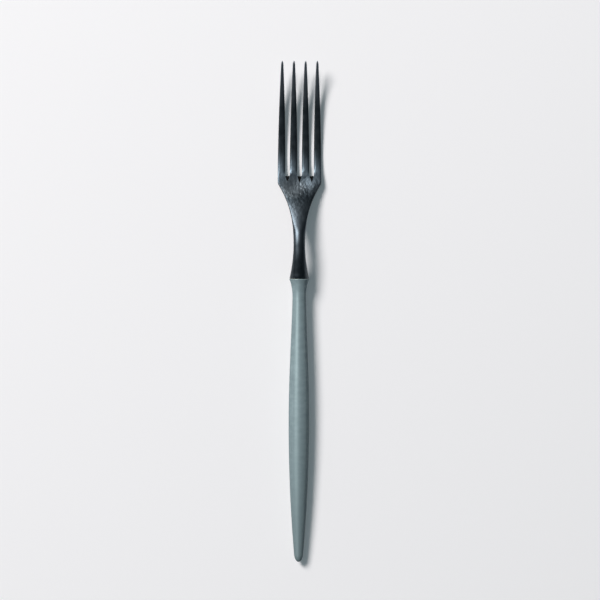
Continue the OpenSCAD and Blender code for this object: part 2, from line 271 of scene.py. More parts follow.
class NodeGraph:
    """The node tree of a material or a world, filled one node at a time."""

    NOISE_SPAN: Span = (0.3, 0.7)
    FACING_BLEND = 0.5
    EDGE_SAMPLES = 6
    CREVICE_SAMPLES = 8

    def __init__(self, owner: bpy.types.Material | bpy.types.World) -> None:
        """Starts with an empty tree.

        Args:
            owner: The material or world that the tree belongs to.
        """
        owner.use_nodes = True
        self.owner = owner
        self.tree = owner.node_tree
        self.tree.nodes.clear()

    def feed(self, socket: Socket, value: Any) -> None:
        """Sets an input, or links it to the output that it comes from.

        Args:
            socket: The input.
            value: Its value or its source.
        """
        if isinstance(value, Socket):
            self.tree.links.new(value, socket)
        else:
            socket.default_value = value

    def add(
        self, kind: str, inputs: dict[str, Any] | None = None, **settings: Any
    ) -> bpy.types.Node:
        """Adds a node.

        Args:
            kind: The node's type name.
            inputs: Value or source of each named input.
            **settings: The node's own properties.

        Returns:
            The new node.
        """
        node = self.tree.nodes.new(kind)
        for name, value in settings.items():
            setattr(node, name, value)
        for name, value in (inputs or {}).items():
            named = (item for item in node.inputs if item.name == name and item.enabled)
            self.feed(next(named), value)
        return node

    def place(self, scale: Sequence[float], shift: Sequence[float] = (0.0, 0.0, 0.0)) -> Socket:
        """Adds the object's own coordinates.

        Args:
            scale: What they are multiplied by, for each axis.
            shift: What is added to them after that, for each axis.

        Returns:
            The coordinates.
        """
        own = self.add("ShaderNodeTexCoord").outputs["Object"]
        inputs = {"Vector": own, "Location": shift, "Scale": scale}
        return self.add("ShaderNodeMapping", inputs).outputs["Vector"]

    def noise(self, grain: Grain) -> Socket:
        """Adds a noise, most of which lies within the noise span.

        Args:
            grain: The noise's pattern.

        Returns:
            The noise's value.
        """
        inputs = {
            "Vector": self.place(grain.scale),
            "Scale": 1.0,
            "Detail": grain.layers,
            "Roughness": grain.fine_share,
        }
        return self.add("ShaderNodeTexNoise", inputs).outputs["Fac"]

    def ranged(self, source: Socket, span: Span, low: float = 0.0, high: float = 1.0) -> Socket:
        """Carries a value over from one range to another.

        Args:
            source: The value.
            span: Start and end of the range that it comes from.
            low: The new value at the start and before it.
            high: The new value at the end and past it.

        Returns:
            The new value.
        """
        inputs = {"Value": source, "To Min": low, "To Max": high}
        inputs["From Min"], inputs["From Max"] = span
        return self.add("ShaderNodeMapRange", inputs).outputs["Result"]

    def spread(self, source: Socket, low: float = 0.0, high: float = 1.0) -> Socket:
        """Returns a noise spread out from a value at its low spots to one at its high spots."""
        return self.ranged(source, self.NOISE_SPAN, low, high)

    def blend(self, share: Socket, low: Colour | Socket, high: Colour | Socket) -> Socket:
        """Blends two colours.

        Args:
            share: Share of the second colour.
            low: The first colour or its source.
            high: The second colour or its source.

        Returns:
            The blended colour.
        """
        node = self.add("ShaderNodeMix", {"Factor": share}, data_type="RGBA")
        for name, colour in (("A", low), ("B", high)):
            socket = next(item for item in node.inputs if item.name == name and item.type == "RGBA")
            self.feed(socket, colour if isinstance(colour, Socket) else opaque(colour))
        return next(item for item in node.outputs if item.type == "RGBA")

    def two_tone(self, source: Socket, dark: Colour, light: Colour) -> Socket:
        """Returns a colour that is dark at a noise's low spots and light at its high spots."""
        return self.blend(self.spread(source), dark, light)

    def bump(
        self, height: Socket, strength: float | Socket, depth: float, base: Socket | None = None
    ) -> Socket:
        """Adds a fine relief.

        Args:
            height: The relief, from 0 to 1.
            strength: How much of it shows.
            depth: Its depth in metres.
            base: The normal that the relief starts from, if it isn't the surface's own.

        Returns:
            The normal of the surface with its relief.
        """
        inputs = {"Height": height, "Strength": strength, "Distance": depth}
        if base is not None:
            inputs["Normal"] = base
        return self.add("ShaderNodeBump", inputs).outputs["Normal"]

    def combine(self, step: MathStep, first: Socket, second: Socket) -> Socket:
        """Adds or multiplies two values.

        Args:
            step: What is done.
            first: The one value.
            second: The other value.

        Returns:
            The sum or product, held between 0 and 1.
        """
        node = self.add("ShaderNodeMath", operation=step.value, use_clamp=True)
        for socket, source in zip(node.inputs, (first, second)):
            self.feed(socket, source)
        return node.outputs["Value"]

    def ball(self, scale: Sequence[float], shift: Sequence[float]) -> Socket:
        """Returns values that fall from 1 at the middle of a ball to 0 at its edge."""
        inputs = {"Vector": self.place(scale, shift)}
        return self.add("ShaderNodeTexGradient", inputs, gradient_type="SPHERICAL").outputs["Fac"]

    def nearness(self, centre: Triple, reach: float) -> Socket:
        """Returns how near a place is to a centre: 1 there, 0 from the reach on."""
        return self.ball([1.0 / reach] * 3, [-value / reach for value in centre])

    def band(self, along: float, reach: float) -> Socket:
        """Returns how near a place is to a cross-section: 1 there, 0 from the reach on."""
        return self.ball((0.0, 1.0 / reach, 0.0), (0.0, -along / reach, 0.0))

    def seen_share(self) -> Socket:
        """Tells the rays that see a surface from those that only carry its light elsewhere.

        Returns:
            1 where the camera looks, also by way of metal or glass, and 0 for other rays.
        """
        path = self.add("ShaderNodeLightPath")
        share = path.outputs["Is Camera Ray"]
        for ray in ("Is Glossy Ray", "Is Transmission Ray"):
            share = self.combine(MathStep.ADD, share, path.outputs[ray])
        return share

    def by_facing(self, span: Span, facing: float, aslant: float) -> Socket:
        """Returns a value for gloss that changes from a surface seen square on to one aslant."""
        slant = self.add("ShaderNodeLayerWeight", {"Blend": self.FACING_BLEND}).outputs["Facing"]
        return self.ranged(slant, span, facing, aslant)

    def rounded_edges(self, radius: float) -> Socket:
        """Returns a normal that turns smoothly over sharp edges within a radius."""
        edges = self.add("ShaderNodeBevel", {"Radius": radius}, samples=self.EDGE_SAMPLES)
        return edges.outputs["Normal"]

    def openness(self, reach: float) -> Socket:
        """Returns how open the surroundings of a place are: 0 deep in a recess, 1 in the open."""
        settings = {"samples": self.CREVICE_SAMPLES, "only_local": True}
        return self.add("ShaderNodeAmbientOcclusion", {"Distance": reach}, **settings).outputs["AO"]

    def close(self, inputs: dict[str, Any]) -> bpy.types.Material:
        """Ends a material's tree with the surface shader.

        Args:
            inputs: Value or source of each of the shader's inputs.

        Returns:
            The material.
        """
        shader = self.add("ShaderNodeBsdfPrincipled", inputs)
        self.add("ShaderNodeOutputMaterial", {"Surface": shader.outputs["BSDF"]})
        return self.owner


class Finish(ABC):
    """The finish of a piece: a material and the record's slot that it belongs to."""

    slot: Slot

    @abstractmethod
    def material(self) -> bpy.types.Material:
        """Builds the finish's material."""

    def apply(self, piece: bpy.types.Object) -> None:
        """Puts the material on every face of a piece."""
        piece.data.materials.clear()
        self.add_to(piece)

    def add_to(self, piece: bpy.types.Object) -> None:
        """Adds the material to a piece as its next finish."""
        piece.data.materials.append(self.material())


@dataclass(frozen=True)
class PaintedLightBand:
    """A band across the head whose colour is changed to paint in light: lighter for a painted
    highlight, darker for painted shade.
    """

    along: float
    reach: float
    colour: Colour


@dataclass(frozen=True)
class BlackSteel(Finish):
    """Blue-black coated steel, brushed along the fork, with forging marks about the shoulders. Its
    colour also holds painted light: lighter bands and a lighter shoulder patch as painted
    highlights, a darker band and darkened recesses as painted shade.
    """

    slot: Slot = Slot.HEAD_STEEL
    dark: Colour = (0.037, 0.046, 0.053)
    light: Colour = (0.065, 0.077, 0.088)
    crevice_shade: Colour = (0.008, 0.009, 0.01)
    painted_glint: Colour = (0.26, 0.295, 0.32)
    smooth_roughness: float = 0.36
    dull_roughness: float = 0.44
    mottle: Grain = Grain((520.0, 340.0, 520.0), layers=4.0, fine_share=0.6)
    mottle_relief: float = 0.5
    mottle_depth: float = 0.05 * MM
    brush: Grain = Grain((4200.0, 160.0, 4200.0))
    brush_relief: float = 0.35
    brush_depth: float = 0.02 * MM
    marks: Grain = Grain((850.0, 780.0, 850.0))
    marks_at: Triple = (0.0, 53.0 * MM, 3.0 * MM)
    marks_reach: float = 20.0 * MM
    marks_depth: float = 0.18 * MM
    painted_glint_at: Triple = (-2.6 * MM, 53.4 * MM, 4.0 * MM)
    painted_glint_reach: float = 5.5 * MM
    painted_glint_least: float = 0.5
    edge_radius: float = 0.06 * MM
    crevice_shade_reach: float = 1.6 * MM
    crevice_shade_span: Span = (0.55, 0.9)
    painted_light_bands: tuple[PaintedLightBand, ...] = (
        # painted light: the tips made lighter
        PaintedLightBand(107.5 * MM, 20.0 * MM, (0.3, 0.33, 0.36)),
        # painted reflection: the tines' roots made lighter
        PaintedLightBand(61.5 * MM, 9.0 * MM, (0.1, 0.127, 0.15)),
        # painted shade: a darker band across the shoulders
        PaintedLightBand(48.6 * MM, 6.5 * MM, (0.028, 0.036, 0.042)),
        # painted highlight: the neck made lighter so that its highlight shows stronger
        PaintedLightBand(33.0 * MM, 16.0 * MM, (0.074, 0.089, 0.102)),
    )

    def material(self) -> bpy.types.Material:
        """Builds the black steel.

        Returns:
            The material.
        """
        graph = NodeGraph(bpy.data.materials.new("black_steel"))
        mottle = graph.noise(self.mottle)
        brush = graph.noise(self.brush)
        marks = graph.noise(self.marks)
        colour = graph.two_tone(mottle, self.dark, self.light)
        # Painted light and shade in bands across the head.
        for light_band in self.painted_light_bands:
            colour = graph.blend(graph.band(light_band.along, light_band.reach), colour, light_band.colour)
        # Painted highlight: a lighter patch on the left shoulder, broken up by the forging marks.
        near_glint = graph.nearness(self.painted_glint_at, self.painted_glint_reach)
        glint_share = graph.combine(MathStep.MULTIPLY, near_glint, graph.spread(marks, self.painted_glint_least))
        colour = graph.blend(glint_share, colour, self.painted_glint)
        # Painted shade: the colour goes towards near-black where a place is enclosed, in the slots
        # and between the tines.
        unshaded_share = graph.ranged(graph.openness(self.crevice_shade_reach), self.crevice_shade_span)
        edges = graph.rounded_edges(self.edge_radius)
        near_marks = graph.nearness(self.marks_at, self.marks_reach)
        relief = graph.bump(mottle, self.mottle_relief, self.mottle_depth, edges)
        relief = graph.bump(marks, near_marks, self.marks_depth, relief)
        return graph.close(
            {
                "Base Color": graph.blend(unshaded_share, self.crevice_shade, colour),
                "Metallic": 1.0,
                "Roughness": graph.spread(mottle, self.smooth_roughness, self.dull_roughness),
                "Normal": graph.bump(brush, self.brush_relief, self.brush_depth, relief),
            }
        )


@dataclass(frozen=True)
class SlotEndShade(Finish):
    """Near-black dull material on the ends of the slots: painted shade in the recesses at the
    tines' roots.
    """

    slot: Slot = Slot.HEAD_STEEL
    dark: Colour = (0.002, 0.0022, 0.0025)
    light: Colour = (0.006, 0.0065, 0.007)
    roughness: float = 0.75
    shine: float = 0.15
    specks: Grain = Grain((2400.0, 2400.0, 2400.0))

    def material(self) -> bpy.types.Material:
        """Builds the painted slot-end shade.

        Returns:
            The material.
        """
        graph = NodeGraph(bpy.data.materials.new("painted_slot_shade"))
        return graph.close(
            {
                "Base Color": graph.two_tone(graph.noise(self.specks), self.dark, self.light),
                "Roughness": self.roughness,
                "Specular IOR Level": self.shine,
            }
        )


@dataclass(frozen=True)
class GreyResin(Finish):
    """Satin grey-green resin: faintly cloudy, with short turning marks that draw out its shine, and
    painted shade that darkens it towards the end.
    """

    slot: Slot = Slot.HANDLE_RESIN
    dark: Colour = (0.208, 0.27, 0.285)
    light: Colour = (0.255, 0.327, 0.344)
    # Painted shade: the colour that the handle darkens to towards its end.
    end: Colour = (0.176, 0.228, 0.239)
    end_shade_at: Triple = (0.0, -107.5 * MM, 4.0 * MM)
    end_shade_reach: float = 68.0 * MM
    sheen: Colour = (0.8, 1.0, 1.0)
    sheen_facing: float = 2.0
    sheen_aslant: float = 0.05
    sheen_span: Span = (0.06, 0.32)
    smooth_roughness: float = 0.44
    dull_roughness: float = 0.5
    stretch: float = 0.35
    stretch_turn: float = 0.25
    turning: Grain = Grain((320.0, 560.0, 320.0))
    turning_relief: float = 0.3
    turning_depth: float = 0.02 * MM
    cloud: Grain = Grain((260.0, 60.0, 260.0), layers=3.0)

    def material(self) -> bpy.types.Material:
        """Builds the grey-green resin.

        Returns:
            The material.
        """
        graph = NodeGraph(bpy.data.materials.new("grey_resin"))
        cloud = graph.noise(self.cloud)
        turning = graph.noise(self.turning)
        near_end_shade = graph.nearness(self.end_shade_at, self.end_shade_reach)
        colour = graph.two_tone(turning, self.dark, self.light)
        round_axis = graph.add("ShaderNodeTangent", direction_type="RADIAL", axis="Y")
        sheen = graph.by_facing(self.sheen_span, self.sheen_facing, self.sheen_aslant)
        return graph.close(
            {
                "Base Color": graph.blend(near_end_shade, colour, self.end),
                "Roughness": graph.spread(cloud, self.smooth_roughness, self.dull_roughness),
                "Specular IOR Level": sheen,
                "Specular Tint": opaque(self.sheen),
                "Anisotropic": self.stretch,
                "Anisotropic Rotation": self.stretch_turn,
                "Tangent": round_axis.outputs["Tangent"],
                "Normal": graph.bump(turning, self.turning_relief, self.turning_depth),
            }
        )


@dataclass(frozen=True)
class TurnedSteel(Finish):
    """Bare stainless steel with the fine rings of the lathe."""

    slot: Slot = Slot.TANG_STEEL
    dark: Colour = (0.44, 0.44, 0.45)
    light: Colour = (0.56, 0.56, 0.57)
    smooth_roughness: float = 0.25
    dull_roughness: float = 0.4
    rings: Grain = Grain((60.0, 9000.0, 60.0), layers=1.0)
    ring_relief: float = 0.3
    ring_depth: float = 0.01 * MM

    def material(self) -> bpy.types.Material:
        """Builds the turned steel.

        Returns:
            The material.
        """
        graph = NodeGraph(bpy.data.materials.new("turned_steel"))
        rings = graph.noise(self.rings)
        return graph.close(
            {
                "Base Color": graph.two_tone(rings, self.dark, self.light),
                "Metallic": 1.0,
                "Roughness": graph.spread(rings, self.smooth_roughness, self.dull_roughness),
                "Normal": graph.bump(rings, self.ring_relief, self.ring_depth),
            }
        )


@dataclass(frozen=True)
class CuredAdhesive(Finish):
    """Cured adhesive, slightly cloudy."""

    slot: Slot = Slot.BOND_RESIN
    dark: Colour = (0.56, 0.54, 0.44)
    light: Colour = (0.68, 0.66, 0.55)
    smooth_roughness: float = 0.3
    dull_roughness: float = 0.45
    cloud: Grain = Grain((900.0, 500.0, 900.0), layers=3.0)

    def material(self) -> bpy.types.Material:
        """Builds the adhesive.

        Returns:
            The material.
        """
        graph = NodeGraph(bpy.data.materials.new("cured_adhesive"))
        cloud = graph.noise(self.cloud)
        return graph.close(
            {
                "Base Color": graph.two_tone(cloud, self.dark, self.light),
                "Roughness": graph.spread(cloud, self.smooth_roughness, self.dull_roughness),
            }
        )


@dataclass(frozen=True)
class HandleAxis:
    """The axis that the bolster's bore, the tang pin and the handle share.

    It starts at the bolster's back face and runs towards the handle's end.
    """

    start: np.ndarray
    along: np.ndarray

    @classmethod
    def from_frame(cls, tang_seat: float, tang_reach: float) -> "HandleAxis":
        """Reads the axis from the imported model.

        Args:
            tang_seat: Depth of the tang pin in the bolster.
            tang_reach: Reach of the tang pin into the handle.

        Returns:
            The axis.
        """
        grip = next(mount for mount in frame["record"]["mounts"] if mount["name"] == "handle_grip")
        along = np.array(grip["axis"]) / np.linalg.norm(grip["axis"])
        lowest, highest = (np.array(corner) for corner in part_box(CadNode.TANG_PIN.value))
        pin_middle = (lowest + highest) / 2.0
        return cls(pin_middle - along * (tang_reach - tang_seat) / 2.0, along)

    @property
    def tilt(self) -> float:
        """The slope of the axis above the table, in radians."""
        return math.atan2(-self.along[2], -self.along[1])

    def point(self, distance: float) -> np.ndarray:
        """Returns the point of the axis at a distance from its start."""
        return self.start + self.along * distance

    def ring(self, radius: float, distance: float, angles: np.ndarray) -> np.ndarray:
        """Makes a ring of points round the axis.

        Args:
            radius: The ring's radius.
            distance: Distance from the start of the axis.
            angles: Angles of the points, from +X over the top.

        Returns:
            The points.
        """
        across = np.array([1.0, 0.0, 0.0])
        up = np.array([0.0, self.along[2], -self.along[1]])
        spokes = np.cos(angles)[:, None] * across + np.sin(angles)[:, None] * up
        return self.point(distance) + radius * spokes


@dataclass
class ForkHead:
    """The forged head: a trumpet bolster, an arched neck, dished shoulders and four tines.

    Stations are measured along the fork from the bolster's back face. The fields are first the
    sizes, then the powers and shares of the curves, then how fine the mesh is.
    """

    axis: HandleAxis
    finish: Finish = field(default_factory=BlackSteel)
    slot_shade_finish: Finish = field(default_factory=SlotEndShade)

    tine_count: int = 4
    tine_length: float = 52.2 * MM
    tine_width: float = 3.2 * MM
    tine_tip_width: float = 0.9 * MM
    tine_thickness: float = 1.8 * MM
    tine_tip_thickness: float = 1.0 * MM
    tine_tip_round: float = 1.6 * MM
    tine_toe_in: float = 0.3 * MM
    slot_width: float = 2.0 * MM
    slot_point: float = 3.0 * MM
    slot_stand: float = 3.4 * MM
    shoulder_length: float = 26.8 * MM
    shoulder_round: float = 0.5 * MM
    shoulder_crown: float = 0.38 * MM
    bowl_depth: float = 0.5 * MM
    bowl_width: float = 14.0 * MM
    bowl_length: float = 12.0 * MM
    bowl_offset: float = 0.8 * MM
    neck_width: float = 5.0 * MM
    neck_thickness: float = 3.0 * MM
    bolster_length: float = 14.3 * MM
    bolster_diameter: float = 8.4 * MM
    bolster_edge: float = 0.25 * MM
    neck_rise: float = math.radians(24.0)
    neck_turn: float = 4.0 * MM
    crest_height: float = 9.3 * MM
    crest_offset: float = 1.3 * MM
    crest_radius: float = 36.0 * MM
    rest_offset: float = 12.3 * MM
    rest_radius: float = 45.0 * MM
    tip_height: float = 8.2 * MM
    tip_angle: float = math.radians(20.0)
    bore_diameter: float = 3.06 * MM
    bore_depth: float = 2.5 * MM
    root_blend: float = 3.0 * MM

    bolster_flare_power: float = 1.85
    shoulder_flare_power: float = 2.5
    tine_taper_power: float = 1.9
    tine_section_power: float = 4.0
    round_section_power: float = 2.0
    head_section_power: float = 18.0
    slot_bulge_power: float = 1.5
    tine_taper_start_share: float = 0.075
    thinned_share: float = 0.36
    squared_shares: Span = (0.2, 0.7)
    slot_clear_share: float = 1.2
    corner_lead_share: float = 2.0
    outer_column_share: float = 0.965
    tine_corner: float = math.radians(30.0)

    tine_columns: int = 13
    slot_columns: int = 7
    side_points: int = 9
    edge_steps: int = 8
    trumpet_steps: int = 44
    shoulder_steps: int = 80
    corner_steps: int = 24
    root_steps: int = 8
    tine_steps: int = 90
    tip_steps: int = 12
    slope_step: float = 0.05 * MM
    crease_angle: float = math.radians(38.0)

    def __post_init__(self) -> None:
        """Works out the stations, the widths and the loops' angles."""
        self.neck_at = self.bolster_length
        self.crest_at = self.neck_at - self.crest_offset
        self.corner_at = self.neck_at + self.shoulder_length
        self.bowl_at = self.corner_at - self.bowl_offset
        self.slot_at = self.corner_at + self.slot_stand
        self.rest_at = self.corner_at + self.rest_offset
        self.tip_at = self.corner_at + self.tine_length
        self.middle_tine = (self.tine_count - 1) / 2.0
        self.tine_pitch = self.tine_width + self.slot_width
        self.head_width = self.tine_count * self.tine_pitch - self.slot_width
        self.stride = self.tine_columns + self.slot_columns
        self.body_columns = self.tine_count * self.stride - self.slot_columns
        self.loop_size = 2 * (self.body_columns + self.side_points)
        self.round_turn = math.tau / self.loop_size
        self.round_corner = self.round_turn * (self.side_points + 1) / 2.0
        round_angles = self.round_corner + self.round_turn * np.arange(self.body_columns)
        self.round_shares = -np.cos(round_angles)
        self.root_shares = self.root_column_shares()
        self.tine_angles = self.loop_angles(
            np.linspace(math.pi - self.tine_corner, self.tine_corner, self.tine_columns)
        )
        self.root_drawn = self.root_drawn_shares()

    def spine_height(self, station: np.ndarray) -> np.ndarray:
        """Works out the height of the head's centre line.

        Args:
            station: The stations.

        Returns:
            The heights above the table.
        """
        rest_height = float(self.tine_half_thickness(np.array(self.rest_at)))
        bolster = (self.axis.start[2], math.tan(self.neck_rise), 0.0)
        crest = (self.crest_height, 0.0, -1.0 / self.crest_radius)
        rest = (rest_height, 0.0, 1.0 / self.rest_radius)
        tip = (self.tip_height, math.tan(self.tip_angle), 0.0)
        return np.where(
            station < self.crest_at,
            arc_between(bolster, crest, (0.0, self.crest_at), station),
            np.where(
                station < self.rest_at,
                arc_between(crest, rest, (self.crest_at, self.rest_at), station),
                arc_between(rest, tip, (self.rest_at, self.tip_at), station),
            ),
        )

    def lean(self, station: np.ndarray) -> np.ndarray:
        """Works out the slope of sections: at first the handle's, then the centre line's.

        Args:
            station: The sections' stations.

        Returns:
            The slopes in radians.
        """
        after = self.spine_height(station + self.slope_step)
        before = self.spine_height(station - self.slope_step)
        slope = np.arctan((after - before) / (2.0 * self.slope_step))
        return mix(self.axis.tilt, slope, eased(station / self.neck_turn))

    def on_spine(self, station: np.ndarray, across: np.ndarray, rise: np.ndarray) -> np.ndarray:
        """Places points on the head's sections.

        Args:
            station: The sections' stations.
            across: The points' distances from the middle plane.
            rise: The points' distances above the centre line.

        Returns:
            The points.
        """
        lean = self.lean(station)
        along = self.axis.start[1] + station - rise * np.sin(lean)
        height = self.spine_height(station) + rise * np.cos(lean)
        return np.stack(np.broadcast_arrays(across, along, height), axis=-1)

    def shoulder_share(self, station: np.ndarray) -> np.ndarray:
        """Returns how far stations lie from the neck to the shoulder corners."""
        return np.maximum(0.0, station - self.neck_at) / self.shoulder_length

    def bolster_share(self, station: np.ndarray) -> np.ndarray:
        """Returns how much of the trumpet's flare is left at stations."""
        return (1.0 - np.clip(station / self.neck_at, 0.0, 1.0)) ** self.bolster_flare_power

    def bolster_edge_loss(self, station: np.ndarray) -> np.ndarray:
        """Returns what the rounded edge takes off the bolster's radius."""
        left = np.clip(self.bolster_edge - station, 0.0, self.bolster_edge)
        return self.bolster_edge - np.sqrt(self.bolster_edge**2 - left**2)

    def body_half_width(self, station: np.ndarray) -> np.ndarray:
        """Works out half the width of the trumpet, the neck and the shoulders.

        Args:
            station: The stations.

        Returns:
            The half widths.
        """
        trumpet = mix(self.neck_width, self.bolster_diameter, self.bolster_share(station)) / 2.0
        flare = self.shoulder_share(station) ** self.shoulder_flare_power
        shoulder = mix(self.neck_width, self.head_width, flare) / 2.0
        shoulder = rounded_min(shoulder, self.head_width / 2.0, self.shoulder_round)
        return np.where(station < self.neck_at, trumpet - self.bolster_edge_loss(station), shoulder)

    def body_half_thickness(self, station: np.ndarray) -> np.ndarray:
        """Works out half the thickness of the trumpet, the neck and the shoulders.

        Args:
            station: The stations.

        Returns:
            The half thicknesses.
        """
        trumpet = mix(self.neck_thickness, self.bolster_diameter, self.bolster_share(station)) / 2.0
        thinned = eased(self.shoulder_share(station) / self.thinned_share)
        shoulder = mix(self.neck_thickness, self.tine_thickness, thinned) / 2.0
        return np.where(station < self.neck_at, trumpet - self.bolster_edge_loss(station), shoulder)

    def body_power(self, station: np.ndarray) -> np.ndarray:
        """Returns the power of the body's sections: an ellipse's, then that of the flat head."""
        share = share_of(self.shoulder_share(station), *self.squared_shares)
        return mix(self.round_section_power, self.head_section_power, eased(share))

    def crown(self, station: np.ndarray, across: np.ndarray) -> np.ndarray:
        """Works out how far the rounded back of the shoulders lowers points.

        Args:
            station: The points' stations.
            across: The points' distances from the middle plane.

        Returns:
            The negative rises.
        """
        share = np.clip(self.shoulder_share(station), 0.0, 1.0)
        out = (across / self.body_half_width(station)) ** 2
        return -4.0 * self.shoulder_crown * share * (1.0 - share) * out

    def dish(self, station: np.ndarray, across: np.ndarray) -> np.ndarray:
        """Returns how far the hollow between the shoulders lowers points, as a negative rise."""
        out = np.hypot(across / self.bowl_width, (station - self.bowl_at) / self.bowl_length)
        return -self.bowl_depth * np.maximum(0.0, 1.0 - (2.0 * out) ** 2) ** 2

    def tine_share(self, station: np.ndarray) -> np.ndarray:
        """Returns how far stations lie from the slots' ends to the tips."""
        return share_of(station, self.slot_at, self.tip_at)

    def tine_taper(self, station: np.ndarray) -> np.ndarray:
        """Returns how far a tine has drawn in at stations."""
        share = share_of(self.tine_share(station), self.tine_taper_start_share, 1.0)
        return np.clip(share, 0.0, 1.0) ** self.tine_taper_power

    def tip_left(self, station: np.ndarray) -> np.ndarray:
        """Returns the share of a tine's section that its rounded tip leaves."""
        past = share_of(station, self.tip_at - self.tine_tip_round, self.tip_at)
        return np.sqrt(1.0 - np.clip(past, 0.0, 1.0) ** 2)

    def tine_half_width(self, station: np.ndarray) -> np.ndarray:
        """Returns half the width of a tine."""
        tapered = mix(self.tine_width, self.tine_tip_width, self.tine_taper(station))
        return tapered / 2.0 * self.tip_left(station)

    def tine_half_thickness(self, station: np.ndarray) -> np.ndarray:
        """Returns half the thickness of a tine."""
        tapered = mix(self.tine_thickness, self.tine_tip_thickness, self.tine_taper(station))
        return tapered / 2.0 * self.tip_left(station)

    def tine_middle(self, tine: int, station: np.ndarray) -> np.ndarray:
        """Returns the place across the head of a tine's middle."""
        toe_in = self.tine_toe_in / self.middle_tine * np.clip(self.tine_share(station), 0.0, 1.0)
        return (tine - self.middle_tine) * (self.tine_pitch - toe_in)

    def loop_angles(self, columns: np.ndarray) -> np.ndarray:
        """Completes a loop from the angles of the columns along its top.

        Args:
            columns: Angles along the top, from left to right.

        Returns:
            The angles over the top, down the right side, back underneath and up the left side.
        """
        corner = columns[-1]
        sides = np.arange(1, self.side_points + 1) * 2.0 * corner / (self.side_points + 1)
        return np.concatenate([columns, corner - sides, -columns[::-1], corner - math.pi - sides])

    def root_column_shares(self) -> np.ndarray:
        """Works out where the columns lie across the tines' roots, along tines and slots.

        Returns:
            The columns' shares of half the head's width.
        """
        places = []
        for tine in range(self.tine_count):
            left = float(self.tine_middle(tine, np.array(self.slot_at))) - self.tine_width / 2.0
            places.append(np.linspace(left, left + self.tine_width, self.tine_columns))
            if tine < self.tine_count - 1:
                gap = steps(0.0, self.slot_width, self.slot_columns + 1)[:-1]
                places.append(left + self.tine_width + gap)
        share = 2.0 * np.concatenate(places) / self.head_width
        return np.clip(share, -self.outer_column_share, self.outer_column_share)

    def body_angles(self, station: np.ndarray) -> np.ndarray:
        """Works out the angles of the points round the body.

        Args:
            station: One station, or one for each point.

        Returns:
            The angles.
        """
        top = station if station.ndim == 0 else station[: self.body_columns]
        share = mix(self.round_shares, self.root_shares, eased(self.shoulder_share(top)))
        return self.loop_angles(np.arccos(signed_power(share, self.body_power(top) / 2.0)))

    def root_drawn_shares(self) -> np.ndarray:
        """Works out how far the body's last loop is drawn back into the slots' ends.

        Returns:
            The share of the slots' point for each point of the loop.
        """
        column = np.arange(self.body_columns) % self.stride
        into = 2.0 * (column - self.tine_columns + 1) / (self.slot_columns + 1) - 1.0
        top = np.where(column < self.tine_columns, 0.0, 1.0 - np.abs(into) ** self.slot_bulge_power)
        return np.concatenate([top, np.zeros(self.loop_size - self.body_columns)])

    def body_loop(self, station: np.ndarray) -> np.ndarray:
        """Makes a loop of points round the body.

        Args:
            station: One station, or one for each point.

        Returns:
            The points.
        """
        across, rise = section(self.body_angles(station), self.body_power(station))
        across = across * self.body_half_width(station)
        rise = rise * self.body_half_thickness(station)
        rise = rise + self.dish(station, across) + self.crown(station, across)
        return self.on_spine(station, across, rise)

    def body_rows(self) -> list[np.ndarray]:
        """Makes the body's loops.

        Returns:
            The loops, from the bottom of the bore to the tines' roots.
        """
        edge_turn = np.linspace(0.0, QUARTER_TURN, self.edge_steps + 1)
        edge = self.bolster_edge * (1.0 - np.cos(edge_turn))
        corner_start = self.corner_at - self.shoulder_round * self.corner_lead_share
        clear_at = self.slot_at - self.slot_point * self.slot_clear_share
        stations = np.concatenate(
            [
                edge,
                steps(self.bolster_edge, self.neck_at, self.trumpet_steps),
                steps(self.neck_at, corner_start, self.shoulder_steps),
                steps(corner_start, clear_at, self.corner_steps),
            ]
        )
        bore = [
            self.axis.ring(self.bore_diameter / 2.0, distance, self.body_angles(np.array(0.0)))
            for distance in (-self.bore_depth, 0.0)
        ]
        to_root = steps(0.0, 1.0, self.root_steps)
        root_at = self.slot_at - self.slot_point * self.root_drawn
        return (
            bore
            + [self.body_loop(np.array(station)) for station in stations]
            + [self.body_loop(mix(clear_at, root_at, share)) for share in to_root]
        )

    def root_column(self, root: np.ndarray, column: int) -> np.ndarray:
        """Makes a column of points through the body's last loop.

        Args:
            root: The body's last loop.
            column: Index of the column.

        Returns:
            The points, from the top to the bottom.
        """
        foot = root[self.loop_size - self.side_points - 1 - column]
        share = np.linspace(0.0, 1.0, self.side_points + 2)[:, None]
        return mix(root[column], foot, share)

    def tine_root(self, root: np.ndarray, tine: int) -> np.ndarray:
        """Picks the first loop of a tine from the body's last loop.

        Args:
            root: The body's last loop.
            tine: Index of the tine.

        Returns:
            The tine's first loop.
        """
        first = tine * self.stride
        last = first + self.tine_columns - 1
        bottom = self.loop_size - self.side_points - 1
        right = self.root_column(root, last)[1:-1]
        if tine == self.tine_count - 1:
            right = root[self.body_columns : self.body_columns + self.side_points]
        left = self.root_column(root, first)[1:-1][::-1]
        if tine == 0:
            left = root[bottom + 1 :]
        top = root[first : last + 1]
        underside = root[bottom - last : bottom - first + 1]
        return np.concatenate([top, right, underside, left])

